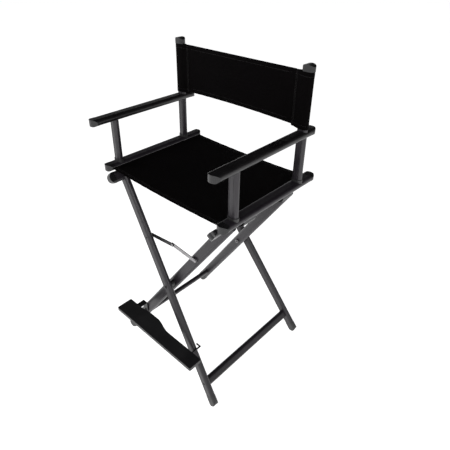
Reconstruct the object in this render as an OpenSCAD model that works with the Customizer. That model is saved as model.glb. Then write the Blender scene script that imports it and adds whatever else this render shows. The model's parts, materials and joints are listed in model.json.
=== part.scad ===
// Tall folding director's chair in aluminium tube, with a cloth seat and back and a footrest.
// Millimetres. +X is the viewer's right from the front, +Y is back, +Z is up.
// The origin is on the floor under the middle of the whole chair.

/* [Overall] */
// Distance between the middles of the two side frames
side_span = 540; // [480:1:640]
// Height of the seat rails' middles above the floor
seat_z = 777; // [680:1:860]
// Height of the armrests' middles above the floor
arm_z = 950; // [860:1:1040]
// Height of the rear posts' caps above the floor
top_z = 1162; // [1090:1:1260]

/* [Side frames] */
// Front tip of the seat rails, measured from the middle of the frame
rail_front = -238; // [-270:1:-215]
// Rear tip of the seat rails
rail_rear = 214; // [200:1:250]
// Front tip of the armrests
arm_front = -272; // [-300:1:-240]
// Rear tip of the armrests
arm_rear = 186; // [170:1:220]
// Middle of the front posts, front to back
front_post_y = -180; // [-200:1:-150]
// Middle of the rear posts, front to back
rear_post_y = 130; // [110:1:145]

/* [Tubes] */
// Wall of every tube
wall = 1.6; // [1.2:0.1:2.4]
// Width of the armrest and seat rail tube
wide_w = 42; // [38:1:48]
// Thickness of the armrest and seat rail tube
wide_t = 22; // [18:1:26]
// Width of the leg and lower rail tube
leg_w = 40; // [34:1:44]
// Thickness of the leg and lower rail tube
leg_t = 20; // [16:1:24]
// Width of the post and stretcher tube
post_w = 34; // [30:1:36]
// Thickness of the post and stretcher tube
post_t = 20; // [16:1:22]
// Width of the four fine grooves along the legs and posts
groove_w = 1.6; // [1:0.1:2]
// Depth of the fine grooves
groove_d = 0.7; // [0.4:0.1:1]

/* [Cross frames] */
// How far each lower rail stands from the middle of the chair
low_rail_x = 244; // [215:1:260]
// How far the lower rails reach in front of the seat rails
low_reach = 10; // [0:1:14]
// How far each foot's centre stands from the middle of the chair
foot_x = 254; // [220:1:262]
// Middle of the outer frame's front leg at its top, front to back
front_top_y = -185; // [-195:1:-175]
// Middle of the outer frame's front leg at its foot
front_foot_y = -247; // [-255:1:-215]
// Middle of the outer frame's rear leg at its top
rear_top_y = 175; // [165:1:195]
// Middle of the outer frame's rear leg at its foot
rear_foot_y = 246; // [215:1:255]
// Space between a leg of the outer frame and its neighbour in the inner frame
leg_gap = 16; // [14:1:20]
// Distance from a foot's centre to the stretcher, along the leg
stretcher_up = 68; // [55:1:120]
// Space left between the seat rail and the lower rail when folded
rail_gap = 1; // [0.5:0.1:2]

/* [Fittings] */
// Radius of the X pivot bolts
pivot_r = 4; // [3:0.5:5]
// Radius of the spacers on the X pivot bolts
spacer_r = 11; // [8:0.5:13]
// Radial clearance of a bolt in its hole
bore_gap = 0.06; // [0.03:0.01:0.1]
// Length of each hinge clip along the rail
clip_len = 52; // [30:1:56]
// Thickness of a hinge clip
clip_t = 3; // [2:0.5:4]
// Radial clearance of the lower rail in its clips
clip_gap = 0.4; // [0.3:0.05:0.8]
// Thickness of the lip of an end cap over its tube
cap_lip = 0.5; // [0.3:0.1:1]

/* [Brace] */
// Distance from the X pivot to a brace bolt, along the leg
brace_up = 190; // [150:1:230]
// Height of the brace's middle joint over its two bolts when open
brace_rise = 11; // [8:1:20]
// Width of a brace link
link_w = 14; // [12:1:18]
// Thickness of a brace link
link_t = 2.5; // [2:0.1:3]
// Radius of the brace bolts and the middle rivet
link_pin_r = 3; // [2:0.5:3.5]

/* [Footrest] */
// Height of the footrest's top face
rest_z = 217; // [195:1:240]
// Thickness of the footrest
rest_t = 12; // [10:1:16]
// Left end of the footrest
rest_left = -200; // [-225:1:-190]
// Right end of the footrest
rest_right = 213; // [200:1:240]
// Front edge of the footrest
rest_front = -315; // [-325:1:-300]
// Space between the footrest and the outer frame's front leg
rest_leg_gap = 2; // [1:0.5:8]
// Depth of the long recess in the right half of the footrest's back edge
rest_recess = 18; // [10:1:24]
// Depth of the short recess at the left of the footrest's back edge
rest_step = 6; // [3:1:10]
// Height of the footrest's hinge bolt on the inner leg
rest_pivot_z = 160; // [150:1:175]
// Radius of the footrest's hook rod
hook_r = 3; // [2.5:0.5:3.5]

/* [Cloth] */
// Thickness of the cloth
cloth_t = 1.6; // [1:0.1:2]
// Sag of the seat in its middle
seat_sag = 9; // [4:1:20]
// Bottom of the back cloth
back_bottom = 976; // [970:1:1010]
// Width of each sewn pocket, from the post's middle to its seam
pocket_w = 42; // [30:1:60]

/* [Hidden] */

$fn = 48;
coat = "#3a383d";
coat_dark = "#2a282c";
plastic = "#1d1c1f";
steel = "#a3a2a6";
cloth = "#1b181a";
eps = 0.01;
long = 2000;                         // longer than any part, for cuts that go right through

// Side frames
side_x = side_span / 2;
cap_skirt = 3;                       // straight part of a tube's end cap
cap_len = cap_skirt + wide_w / 2 + cap_lip;
plug_len = 14;                       // part of a cap inside its tube
plug_gap = 0.2;
cap_room = cap_lip + 0.1;            // cut away round a cap that passes a leg's end
socket_gap = 0.2;                    // round a post where it passes through an armrest
collar_h = 8;
collar_t = 2;
post_cap_h = 14;                     // skirt of the cap on a rear post
post_cap_dome = 7;
post_cap_t = 3;                      // wall of that skirt
post_top = top_z - post_cap_dome;

// Cross frames
foot_lip = 0.8;                      // wall of a foot cap
foot_r = leg_w / 2 + foot_lip;
foot_z = leg_w / 2;                  // lower than the radius, so each foot has a narrow flat
foot_skirt = 18;
foot_floor = 4;                      // solid part of the foot cap under the tube's end
fit_gap = 0.05;
low_z = seat_z - wide_t / 2 - leg_w / 2 - rail_gap;
low_front = rail_front - low_reach;
low_rear = rail_rear - 6;
low_cap_len = cap_skirt + leg_w / 2 + cap_lip;
lean = atan2(foot_x + low_rail_x, low_z - foot_z);
leg_len = (low_z - foot_z) / cos(lean);
leg_top_gap = 12;                    // between the leg's end and the lower rail's middle
pivot_z = foot_z + foot_x / tan(lean);
pivot_up = foot_x / sin(lean);       // from the foot's centre to the X pivot, along the leg
leg_step = leg_t + leg_gap;
outer_front = [front_foot_y, front_top_y];
outer_rear = [rear_foot_y, rear_top_y];
inner_front = [front_foot_y + leg_step, front_top_y + leg_step];
inner_rear = [rear_foot_y - leg_step, rear_top_y - leg_step];
sink = 1.2;                          // how far a fitting is drawn into a slanted leg and cut back
stretcher_plug = 12;                 // solid ends of a stretcher
screw_r = 2.5;
screw_head_r = 5;
screw_head_h = 2.5;

// X pivot fittings
pivot_head_r = 7.5;
pivot_head_h = 4;
nut_r = 7.5;
nut_h = 6.5;
run_gap = 0.3;                       // between parts that slide past each other

// Hinge clips, one behind each front leg and one before each rear leg
clip_r = leg_w / 2 + clip_gap;
clip_y = [inner_front[1] + leg_t / 2 + 14, inner_rear[1] - leg_t / 2 - 10 - clip_len];
clip_open = 150;                     // the clip's mouth starts at this angle from its outer side
clip_flange = 14;
clip_screw_r = 2;
clip_head_h = 1.8;

// Brace between the front legs
brace_x = brace_up * sin(lean);
brace_z = pivot_z + brace_up * cos(lean);
link_len = norm([brace_x, brace_rise]);
link_tilt = atan2(brace_rise, brace_x);
brace_at = pivot_up + brace_up;
gap_front = rear_face(outer_front, brace_at);
gap_rear = front_face(inner_front, brace_at);
gap_mid = (gap_front + gap_rear) / 2 + 1;    // a little back, clear of the slanted outer leg
outer_link_y = gap_mid - run_gap / 2 - link_t;
inner_link_y = gap_mid + run_gap / 2;
link_head_r = 5;
link_head_h = 2;
link_collar_r = 6;

// Footrest
rest_under = rest_z - rest_t;
rest_back = front_face(outer_front, leg_up(rest_under)) - rest_leg_gap;
rest_pivot_x = leg_axis_x(rest_pivot_z);
bracket_t = 2.5;
bracket_w = 24;
ear_y = front_face(inner_front, leg_up(rest_pivot_z)) - turn_gap(inner_front, bracket_w / 2)
    - bracket_t;
rest_bolt_r = 4;
hook_z = rest_under - bracket_t - hook_r;
hook_x = leg_axis_x(hook_z) + (leg_w / 2 + run_gap + hook_r) / cos(lean);
hook_y = rear_face(outer_front, leg_up(hook_z)) + leg_gap / 2;
hook_turn = 16;                      // length of the hook's end behind the leg
pad_w = 34;
pad_len = 40;
pad_y = rest_front + 10;
rest_screw_in = 8;                   // how far a footrest screw goes into the footrest
corner_r = 5;

// Cloth
slot_w = 5;                          // slot along the inner side of each seat rail
rod_r = 4;                           // rod in the seat's hem, too thick to leave the slot
rod_x = side_x - wide_w / 2 + wall + rod_r + 0.2;
seat_half = rod_x - rod_r - run_gap;
seat_front = rail_front + 16;
seat_rear = rail_rear - 16;
rod_room = 0.3;                      // round the rod where it runs into the end caps
seat_r = (seat_half * seat_half + seat_sag * seat_sag) / (2 * seat_sag);
sleeve_gap = 0.3;
back_top = post_top - post_cap_h - 1;
seam_x = side_x - pocket_w;

// The frame's middle, front to back, so that the origin is under the middle of the whole chair
foot_rear = rear_foot_y + (leg_t / 2 + foot_lip) * cos(leg_tilt(outer_rear))
    - foot_r * sin(leg_tilt(outer_rear));
mid_y = (rest_front + max(foot_rear, rail_rear)) / 2;

// X of the axis of the leg that stands on the right, at height z
function leg_axis_x(z) = foot_x - (z - foot_z) * tan(lean);

// Distance along a leg from its foot's centre to height z
function leg_up(z) = (z - foot_z) / cos(lean);

// Y of a leg's axis and of its two faces at a distance up the leg; ends = [at its foot, at its top]
function leg_y(ends, up) = ends[0] + (ends[1] - ends[0]) * up / leg_len;
function leg_tilt(ends) = atan2(ends[1] - ends[0], leg_len);
function front_face(ends, up) = leg_y(ends, up) - leg_t / 2 / cos(leg_tilt(ends));
function rear_face(ends, up) = leg_y(ends, up) + leg_t / 2 / cos(leg_tilt(ends));

// Room for a flat disc of radius r to turn against a slanted leg
function turn_gap(ends, r) = run_gap + r * abs(tan(leg_tilt(ends)));

// Share of the way from 0 to 1 along a smooth step
function smooth(u) = (1 - cos(180 * u)) / 2;

// Points of a smooth step in an outline, from (x0, y0) to (x1, y1)
function step_points(x0, y0, x1, y1, n = 12) =
    [for (i = [0:n]) [x0 + (x1 - x0) * i / n, y0 + (y1 - y0) * smooth(i / n)]];

// Points of a quarter round of radius r in a corner at (cx, cy), starting at angle a
function corner_points(cx, cy, r, a, n = 6) =
    [for (i = [0:n]) [cx + r * cos(a + 90 * i / n), cy + r * sin(a + 90 * i / n)]];

module oval(w, t) {
    square([w - t, t], center = true);
    for (s = [-1, 1]) translate([s * (w - t) / 2, 0]) circle(d = t);
}

module grooved_oval(w, t) {
    difference() {
        oval(w, t);
        for (sx = [-1, 1], sy = [-1, 1])
            translate([sx * (w - t) / 2, sy * t / 2])
                square([groove_w, 2 * groove_d], center = true);
    }
}

module wide_tube(len) {
    linear_extrude(len) difference() {
        oval(wide_w, wide_t);
        oval(wide_w - 2 * wall, wide_t - 2 * wall);
    }
}

module grooved_tube(w, t, len) {
    linear_extrude(len) difference() {
        grooved_oval(w, t);
        oval(w - 2 * wall, t - 2 * wall);
    }
}

// Turns a shape that runs along +Z so that it runs from y towards +Y, or towards -Y
module along_y(y, dir = 1) {
    translate([0, y, 0]) rotate([dir > 0 ? -90 : 90, 0, 0]) children();
}

module rod_y(r, y0, y1) {
    along_y(y0) cylinder(r = r, h = y1 - y0);
}

module put() {
    translate([0, -mid_y, 0]) children();
}

// Frame of a leg: origin at the centre of the foot on side s, +Z up along the leg
module in_leg(s) {
    translate([s * foot_x, 0, foot_z]) rotate([0, -s * lean, 0]) children();
}

// Within in_leg, the slanted frame of one leg
module on_leg(ends) {
    translate([0, ends[0], 0]) rotate([-leg_tilt(ends), 0, 0]) children();
}

// Within in_leg, the slab between the planes of a leg's two faces
module leg_space(ends) {
    on_leg(ends) translate([-long / 2, -leg_t / 2, -long / 2]) cube([long, leg_t, long]);
}

// End cap for a tube of width w and thickness t: a round thumb outside and a plug inside
module tube_cap(w, t) {
    big_w = w + 2 * cap_lip;
    big_t = t + 2 * cap_lip;
    len = cap_skirt + big_w / 2;
    intersection() {
        linear_extrude(len) oval(big_w, big_t);
        union() {
            translate([0, 0, cap_skirt]) rotate([90, 0, 0])
                cylinder(d = big_w, h = 2 * big_t, center = true, $fn = 64);
            translate([-w, -w, 0]) cube([2 * w, 2 * w, cap_skirt]);
        }
    }
    translate([0, 0, -plug_len]) linear_extrude(plug_len + eps)
        oval(w - 2 * wall - 2 * plug_gap, t - 2 * wall - 2 * plug_gap);
}

module round_head(r, h) {
    intersection() {
        cylinder(r = r, h = h);
        translate([0, 0, h - (r * r + h * h) / (2 * h)]) sphere((r * r + h * h) / (2 * h), $fn = 64);
    }
}

// ---- cross frames ----

module leg(s, ends, bores) {
    color(coat) put() in_leg(s) difference() {
        on_leg(ends) translate([0, 0, foot_floor])
            grooved_tube(leg_w, leg_t, leg_len / cos(leg_tilt(ends)) - leg_top_gap - foot_floor);
        translate([0, 0, leg_len]) {
            along_y(-long / 2) linear_extrude(long) rotate(90) oval(leg_w, leg_t);
            along_y(low_front + low_cap_len + fit_gap, -1) linear_extrude(long)
                rotate(90) oval(leg_w + 2 * cap_room, leg_t + 2 * cap_room);
            along_y(low_rear - low_cap_len - fit_gap) linear_extrude(long)
                rotate(90) oval(leg_w + 2 * cap_room, leg_t + 2 * cap_room);
        }
        for (b = bores) translate([0, 0, b[0]]) rod_y(b[1] + bore_gap, -long / 2, long / 2);
    }
}

module foot(s, ends) {
    big_w = leg_w + 2 * foot_lip;
    big_t = leg_t + 2 * foot_lip;
    color(plastic) put() difference() {
        in_leg(s) on_leg(ends) intersection() {
            translate([0, 0, -foot_r]) linear_extrude(foot_r + foot_skirt) oval(big_w, big_t);
            union() {
                rotate([90, 0, 0]) cylinder(r = foot_r, h = 2 * big_t, center = true, $fn = 64);
                translate([-leg_w, -leg_w, 0]) cube([2 * leg_w, 2 * leg_w, foot_skirt]);
            }
        }
        in_leg(s) on_leg(ends) translate([0, 0, foot_floor]) linear_extrude(foot_skirt)
            oval(leg_w + 2 * fit_gap, leg_t + 2 * fit_gap);
        translate([-long / 2, -long / 2, -long]) cube(long);
    }
}

// A stretcher between a frame's two legs, its ends cut to the slanted legs
module stretcher(s, front, rear) {
    y0 = rear_face(front, stretcher_up) - sink;
    y1 = front_face(rear, stretcher_up) + sink;
    color(coat) put() in_leg(s) difference() {
        translate([0, 0, stretcher_up]) difference() {
            along_y(y0) linear_extrude(y1 - y0) rotate(90) grooved_oval(post_w, post_t);
            along_y(y0 + stretcher_plug) linear_extrude(y1 - y0 - 2 * stretcher_plug)
                rotate(90) oval(post_w - 2 * wall, post_t - 2 * wall);
            rod_y(screw_r + fit_gap, y0 - eps, y0 + stretcher_plug - 1);
            rod_y(screw_r + fit_gap, y1 - stretcher_plug + 1, y1 + eps);
        }
        leg_space(front);
        leg_space(rear);
    }
}

// Two screws that hold a stretcher, one through each leg from its outer face
module stretcher_screws(s, front, rear) {
    y0 = front_face(front, stretcher_up);
    y1 = rear_face(rear, stretcher_up);
    color(coat_dark) put() in_leg(s) {
        translate([0, 0, stretcher_up]) {
            rod_y(screw_r, y0, y0 + leg_t + stretcher_plug - 4);
            rod_y(screw_r, y1 - leg_t - stretcher_plug + 4, y1);
        }
        difference() {
            translate([0, 0, stretcher_up])
                along_y(y0 + sink, -1) round_head(screw_head_r, screw_head_h + sink);
            leg_space(front);
        }
        difference() {
            translate([0, 0, stretcher_up])
                along_y(y1 - sink) round_head(screw_head_r, screw_head_h + sink);
            leg_space(rear);
        }
    }
}

module lower_rail(s) {
    color(coat) put() in_leg(s) translate([0, 0, leg_len])
        along_y(low_front + low_cap_len)
            linear_extrude(low_rear - low_front - 2 * low_cap_len) rotate(90) difference() {
                oval(leg_w, leg_t);
                oval(leg_w - 2 * wall, leg_t - 2 * wall);
            }
}

module lower_rail_caps(s) {
    color(plastic) put() in_leg(s) translate([0, 0, leg_len]) {
        along_y(low_front + low_cap_len, -1) rotate(90) tube_cap(leg_w, leg_t);
        along_y(low_rear - low_cap_len) rotate(90) tube_cap(leg_w, leg_t);
    }
}

outer_bores = [[pivot_up, pivot_r], [stretcher_up, screw_r]];
inner_bores = outer_bores;
brace_bore = [[pivot_up + brace_up, link_pin_r]];
rest_bore = [[(rest_pivot_z - foot_z) / cos(lean), rest_bolt_r]];

module outer_leg_front() leg(1, outer_front, concat(outer_bores, brace_bore));
module outer_leg_rear() leg(1, outer_rear, outer_bores);
module outer_foot_front() foot(1, outer_front);
module outer_foot_rear() foot(1, outer_rear);
module outer_stretcher() stretcher(1, outer_front, outer_rear);
module outer_stretcher_screws() stretcher_screws(1, outer_front, outer_rear);
module outer_lower_rail() lower_rail(1);
module outer_rail_caps() lower_rail_caps(1);

module inner_leg_front() leg(-1, inner_front, concat(inner_bores, brace_bore, rest_bore));
module inner_leg_rear() leg(-1, inner_rear, inner_bores);
module inner_foot_front() foot(-1, inner_front);
module inner_foot_rear() foot(-1, inner_rear);
module inner_stretcher() stretcher(-1, inner_front, inner_rear);
module inner_stretcher_screws() stretcher_screws(-1, inner_front, inner_rear);
module inner_lower_rail() lower_rail(-1);
module inner_rail_caps() lower_rail_caps(-1);

// ---- X pivots ----

// A bolt from an outer leg's outer face, at y, through both legs. dir is the way it points.
module pivot_bolt(ends, y, dir) {
    len = leg_step + leg_t / cos(leg_tilt(ends)) + turn_gap(ends, nut_r) + nut_h - 1;
    translate([0, 0, pivot_z]) along_y(y, dir) cylinder(r = pivot_r, h = len);
    difference() {
        translate([0, 0, pivot_z]) along_y(y + dir * sink, -dir)
            round_head(pivot_head_r, pivot_head_h + sink);
        in_leg(1) leg_space(ends);
    }
}

module pivot_bolts() color(coat_dark) put() {
    pivot_bolt(outer_front, front_face(outer_front, pivot_up), 1);
    pivot_bolt(outer_rear, rear_face(outer_rear, pivot_up), -1);
}

module pivot_nut(ends, y, dir) {
    translate([0, y + dir * turn_gap(ends, nut_r), pivot_z]) along_y(0, dir) difference() {
        cylinder(r = nut_r, h = nut_h, $fn = 6);
        translate([0, 0, -eps]) cylinder(r = pivot_r + fit_gap, h = nut_h + 2 * eps);
    }
}

module pivot_nuts() color(steel) put() {
    pivot_nut(inner_front, rear_face(inner_front, pivot_up), 1);
    pivot_nut(inner_rear, front_face(inner_rear, pivot_up), -1);
}

// A spacer that starts on an outer leg's inner face, at y, and stops short of the inner leg
module pivot_spacer(ends, y, dir) {
    len = leg_step - leg_t / cos(leg_tilt(ends)) - turn_gap(ends, spacer_r);
    difference() {
        translate([0, 0, pivot_z]) along_y(y - dir * sink, dir)
            cylinder(r = spacer_r, h = len + sink);
        in_leg(1) leg_space(ends);
        translate([0, 0, pivot_z]) rod_y(pivot_r + fit_gap, -long / 2, long / 2);
    }
}

module pivot_spacers() color(plastic) put() {
    pivot_spacer(outer_front, rear_face(outer_front, pivot_up), 1);
    pivot_spacer(outer_rear, front_face(outer_rear, pivot_up), -1);
}

// ---- brace ----

module outer_brace_bolt() {
    y = front_face(outer_front, brace_at);
    color(coat_dark) put() {
        translate([-brace_x, 0, brace_z]) {
            rod_y(link_pin_r, y, outer_link_y + link_t + run_gap);
            rod_y(link_head_r, outer_link_y + link_t + run_gap,
                outer_link_y + link_t + run_gap + link_head_h);
        }
        difference() {
            translate([-brace_x, 0, brace_z]) {
                along_y(y + sink, -1) round_head(link_head_r, link_head_h + sink);
                rod_y(link_collar_r, gap_front - sink, outer_link_y - run_gap);
            }
            in_leg(1) leg_space(outer_front);
        }
    }
}

module inner_brace_bolt() {
    y = rear_face(inner_front, brace_at);
    color(steel) put() {
        translate([brace_x, 0, brace_z]) {
            rod_y(link_pin_r, inner_link_y - run_gap, y);
            along_y(inner_link_y - run_gap, -1) round_head(link_head_r, link_head_h);
        }
        difference() {
            translate([brace_x, 0, brace_z]) {
                along_y(y - sink) round_head(link_head_r, link_head_h + sink);
                rod_y(link_collar_r, inner_link_y + link_t + run_gap, gap_rear + sink);
            }
            in_leg(-1) leg_space(inner_front);
        }
    }
}

// A link from the bolt on side s to the middle joint, with its front face at y
module brace_link(s, y) {
    translate([s * brace_x, 0, brace_z]) rotate([0, s * link_tilt, 0]) difference() {
        union() {
            translate([s > 0 ? -link_len : 0, y, -link_w / 2]) cube([link_len, link_t, link_w]);
            for (x = [0, -s * link_len]) translate([x, 0, 0]) rod_y(link_w / 2, y, y + link_t);
        }
        for (x = [0, -s * link_len]) translate([x, 0, 0])
            rod_y(link_pin_r + bore_gap, y - 1, y + link_t + 1);
    }
}

module brace_link_outer() color(coat_dark) put() brace_link(-1, outer_link_y);
module brace_link_inner() color(steel) put() brace_link(1, inner_link_y);

// The middle joint's two half rivets: each stays in its own link, and they meet face to face
module brace_rivet_front() color(steel) put() translate([0, 0, brace_z + brace_rise]) {
    rod_y(link_pin_r, outer_link_y, outer_link_y + link_t);
    along_y(outer_link_y, -1) round_head(link_head_r, link_head_h);
}

module brace_rivet_rear() color(steel) put() translate([0, 0, brace_z + brace_rise]) {
    rod_y(link_pin_r, inner_link_y, inner_link_y + link_t);
    along_y(inner_link_y + link_t) round_head(link_head_r, link_head_h);
}

// ---- side frames, s = -1 left and 1 right ----

module rail_outline(z) {
    translate([0, -long / 2, z]) rotate([-90, 0, 0]) linear_extrude(long) oval(wide_w, wide_t);
}

module post_outline(y, extra) {
    translate([0, y, 0]) linear_extrude(long) oval(post_w + 2 * extra, post_t + 2 * extra);
}

module seat_rail(s) {
    color(coat) put() translate([s * side_x, 0, 0]) difference() {
        translate([0, 0, seat_z]) along_y(rail_front + cap_len)
            wide_tube(rail_rear - rail_front - 2 * cap_len);
        translate([s > 0 ? -wide_w : 0, -long / 2, seat_z - slot_w / 2])
            cube([wide_w, long, slot_w]);
        for (y = clip_y, dy = [clip_len / 4, clip_len * 3 / 4])
            translate([clip_screw_x(s), y + dy, seat_z - wide_t])
                cylinder(r = clip_screw_r + fit_gap, h = wide_t);
    }
}

// A clip screw's place, measured from the seat rail's middle
function clip_screw_x(s) = s * 4;

module rail_caps(s, z, front, rear) {
    color(plastic) put() translate([s * side_x, 0, z]) {
        along_y(front + cap_len, -1) tube_cap(wide_w, wide_t);
        along_y(rear - cap_len) tube_cap(wide_w, wide_t);
    }
}

module front_post(s) {
    color(coat) put() translate([s * side_x, 0, 0]) difference() {
        translate([0, front_post_y, seat_z]) grooved_tube(post_w, post_t, arm_z - seat_z);
        rail_outline(seat_z);
        rail_outline(arm_z);
    }
}

module rear_post(s) {
    color(coat) put() translate([s * side_x, 0, 0]) difference() {
        translate([0, rear_post_y, seat_z]) grooved_tube(post_w, post_t, post_top - post_cap_t - seat_z);
        rail_outline(seat_z);
    }
}

module post_collars(s) {
    color(plastic) put() translate([s * side_x, 0, 0]) difference() {
        for (y = [front_post_y, rear_post_y]) translate([0, y, seat_z])
            linear_extrude(wide_t / 2 + collar_h)
                oval(post_w + 2 * collar_t, post_t + 2 * collar_t);
        for (y = [front_post_y, rear_post_y]) post_outline(y, fit_gap);
        rail_outline(seat_z);
    }
}

module armrest(s) {
    color(coat_dark) put() translate([s * side_x, 0, 0]) difference() {
        translate([0, 0, arm_z]) along_y(arm_front + cap_len)
            wide_tube(arm_rear - arm_front - 2 * cap_len);
        post_outline(rear_post_y, socket_gap);
    }
}

module post_cap(s) {
    w = post_w + 2 * post_cap_t;
    t = post_t + 2 * post_cap_t;
    bulge = (w * w / 4 + post_cap_dome * post_cap_dome) / (2 * post_cap_dome);
    color(plastic) put() translate([s * side_x, rear_post_y, post_top]) difference() {
        intersection() {
            translate([0, 0, -post_cap_h]) linear_extrude(post_cap_h + post_cap_dome) oval(w, t);
            translate([0, 0, post_cap_dome - bulge]) rotate([90, 0, 0])
                cylinder(r = bulge, h = 2 * w, center = true, $fn = 96);
        }
        translate([0, 0, -post_cap_h - eps]) linear_extrude(post_cap_h - post_cap_t + eps)
            oval(post_w + 2 * fit_gap, post_t + 2 * fit_gap);
    }
}

// A strap under the lower rail, open towards the middle of the chair at its top, with a flange
// that is screwed up to the seat rail
module hinge_clips(s) {
    top = seat_z - wide_t / 2 - low_z;
    flange_x = side_x - low_rail_x;
    color(plastic) put() translate([s * low_rail_x, 0, low_z]) mirror([s > 0 ? 0 : 1, 0, 0])
        for (y = clip_y) translate([0, y, 0]) difference() {
            union() {
                difference() {
                    rod_y(clip_r + clip_t, 0, clip_len);
                    clip_mouth();
                }
                translate([clip_r, 0, 0]) cube([clip_t, clip_len, top]);
                translate([clip_r, 0, top - clip_t]) cube([clip_flange, clip_len, clip_t]);
            }
            rod_y(clip_r, -eps, clip_len + eps);
            for (dy = [clip_len / 4, clip_len * 3 / 4])
                translate([flange_x + clip_screw_x(1), dy, 0])
                    cylinder(r = clip_screw_r + fit_gap, h = long);
        }
}

// The open sector of a hinge clip, over the lower rail
module clip_mouth() {
    big = 3 * clip_r;
    rotate([-90, 0, 0]) translate([0, 0, -eps]) linear_extrude(clip_len + 2 * eps)
        polygon([[0, 0], [big, 0], [big, -big], [-big, -big],
                 [big * cos(clip_open), -big * sin(clip_open)]]);
}

module clip_screws(s) {
    under = seat_z - wide_t / 2 - clip_t;
    color(steel) put() for (y = clip_y, dy = [clip_len / 4, clip_len * 3 / 4])
        translate([s * side_x + clip_screw_x(s), y + dy, under]) {
            cylinder(r = clip_screw_r, h = clip_t + wall + 3);
            rotate([180, 0, 0]) round_head(2 * clip_screw_r, clip_head_h);
        }
}

// The seat rail's caps are notched for the ends of the rod and for the cloth
module seat_rail_caps(s) {
    color(plastic) put() difference() {
        translate([0, mid_y, 0]) rail_caps(s, seat_z, rail_front, rail_rear);
        translate([s * rod_x, 0, seat_z])
            rod_y(rod_r + rod_room, seat_front - rod_room, seat_rear + rod_room);
        translate([s * rod_x - (s > 0 ? wide_w : 0), seat_front - rod_room, seat_z - slot_w / 2])
            cube([wide_w, seat_rear - seat_front + 2 * rod_room, slot_w]);
    }
}

module seat_rod(s) {
    color(steel) put() translate([s * rod_x, 0, seat_z]) rod_y(rod_r, seat_front, seat_rear);
}

module seat_rail_left() seat_rail(-1);
module seat_rail_right() seat_rail(1);
module seat_rail_caps_left() seat_rail_caps(-1);
module seat_rail_caps_right() seat_rail_caps(1);
module front_post_left() front_post(-1);
module front_post_right() front_post(1);
module rear_post_left() rear_post(-1);
module rear_post_right() rear_post(1);
module post_collars_left() post_collars(-1);
module post_collars_right() post_collars(1);
module post_cap_left() post_cap(-1);
module post_cap_right() post_cap(1);
module armrest_left() armrest(-1);
module armrest_right() armrest(1);
module armrest_caps_left() rail_caps(-1, arm_z, arm_front, arm_rear);
module armrest_caps_right() rail_caps(1, arm_z, arm_front, arm_rear);
module hinge_clips_left() hinge_clips(-1);
module hinge_clips_right() hinge_clips(1);
module clip_screws_left() clip_screws(-1);
module clip_screws_right() clip_screws(1);
module seat_rod_left() seat_rod(-1);
module seat_rod_right() seat_rod(1);

// ---- cloth ----

// The seat: one sheet between the rods, sagging in a shallow arc
module seat_fabric() {
    n = 24;
    top = [for (i = [0:n]) let (x = -seat_half + 2 * seat_half * i / n)
        [x, sag_at(x) + cloth_t / 2]];
    low = [for (i = [n:-1:0]) let (x = -seat_half + 2 * seat_half * i / n)
        [x, sag_at(x) - cloth_t / 2]];
    color(cloth) put() translate([0, seat_rear, seat_z]) rotate([90, 0, 0])
        linear_extrude(seat_rear - seat_front) polygon(concat(top, low));
}

// Height of the seat's cloth under its rods, on an arc through both rods
function sag_at(x) = seat_r - seat_sag - sqrt(seat_r * seat_r - x * x);

// A sewn pocket round a rear post, narrowing to its seam
module back_sleeve(s) {
    grow = sleeve_gap + cloth_t;
    color(cloth) put() translate([s * side_x, rear_post_y, back_bottom])
        mirror([s > 0 ? 0 : 1, 0, 0]) linear_extrude(back_top - back_bottom) difference() {
            union() {
                oval(post_w + 2 * grow, post_t + 2 * grow);
                polygon([[0, post_t / 2 + grow], [-pocket_w, cloth_t],
                         [-pocket_w, -cloth_t], [0, -post_t / 2 - grow]]);
            }
            oval(post_w + 2 * sleeve_gap, post_t + 2 * sleeve_gap);
        }
}

module back_sleeve_left() back_sleeve(-1);
module back_sleeve_right() back_sleeve(1);

// The back's middle panel, from seam to seam
module back_fabric() {
    half = seam_x - run_gap;
    color(cloth) put() translate([-half, rear_post_y - cloth_t / 2, back_bottom])
        cube([2 * half, cloth_t, back_top - back_bottom]);
}

// ---- footrest ----

module footrest_plate() {
    right_back = rest_back - rest_recess;
    left_back = rest_back - rest_step;
    outline = concat(
        corner_points(rest_left + corner_r, rest_front + corner_r, corner_r, 180),
        corner_points(rest_right - corner_r, rest_front + corner_r, corner_r, 270),
        corner_points(rest_right - corner_r, right_back - corner_r, corner_r, 0),
        step_points(42, right_back, -42, rest_back),
        step_points(-92, rest_back, -132, left_back, 8),
        corner_points(rest_left + corner_r, left_back - corner_r, corner_r, 90));
    color(coat_dark) put() difference() {
        translate([0, 0, rest_under]) linear_extrude(rest_t) polygon(outline);
        for (p = rest_screw_spots) translate([p[0], p[1], rest_under - eps])
            cylinder(r = clip_screw_r + fit_gap, h = rest_screw_in + 1);
    }
}

rest_screw_spots = [
    [-rest_pivot_x, rest_front + 18], [-rest_pivot_x, rest_front + 52],
    [hook_x - 12, pad_y + pad_len / 2], [hook_x + 12, pad_y + pad_len / 2]
];

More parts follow.
